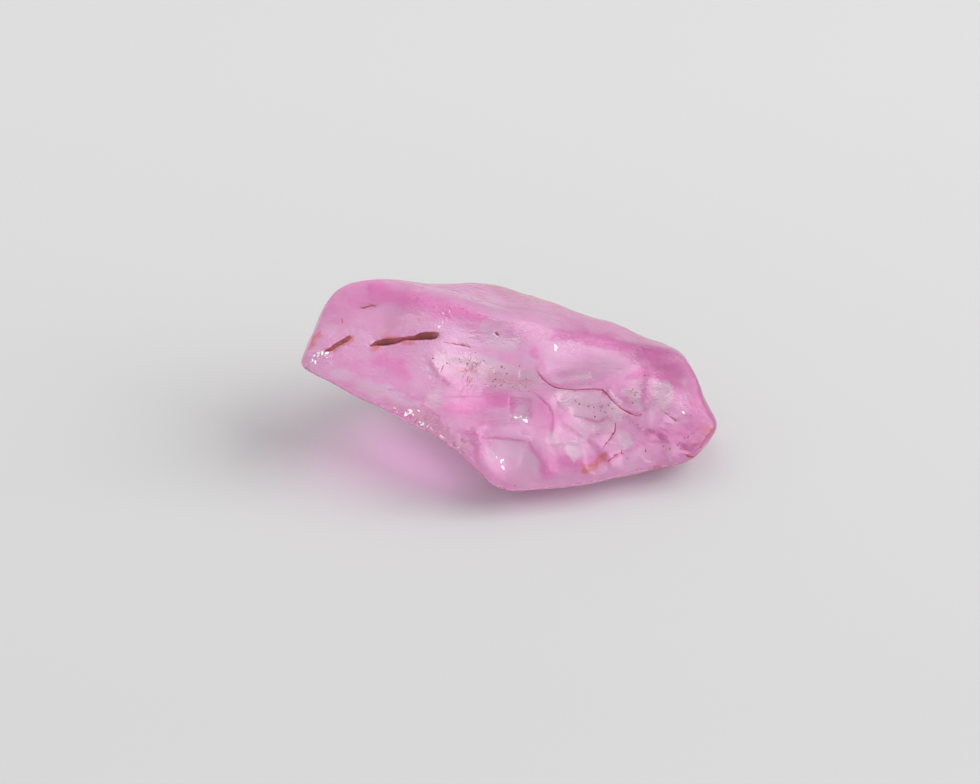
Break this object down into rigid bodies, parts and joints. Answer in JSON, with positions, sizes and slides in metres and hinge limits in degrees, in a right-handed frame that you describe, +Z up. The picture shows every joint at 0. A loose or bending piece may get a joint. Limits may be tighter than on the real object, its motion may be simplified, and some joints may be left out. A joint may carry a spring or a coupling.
{
  "type": "rough sapphire",
  "caption": "Rough pink sapphire: a see-through, broken and water-worn pebble with a ridge, hollows and brown fissures, lying on its flat underside.",
  "frame": {"origin": "middle of the footprint, on the surface the stone lies on", "axes": "+X along the stone's length, from the overhanging ridge end to the low end; +Y away from the side with the fissures; +Z up"},
  "size_m": [0.012, 0.0066, 0.005],
  "materials": {
    "pink_sapphire": "natural fracture skin, satin to glossy, see-through pink with cloudy veils"
  },
  "bodies": {
    "root": {"sapphire": "pink_sapphire"}
  },
  "joints": []
}
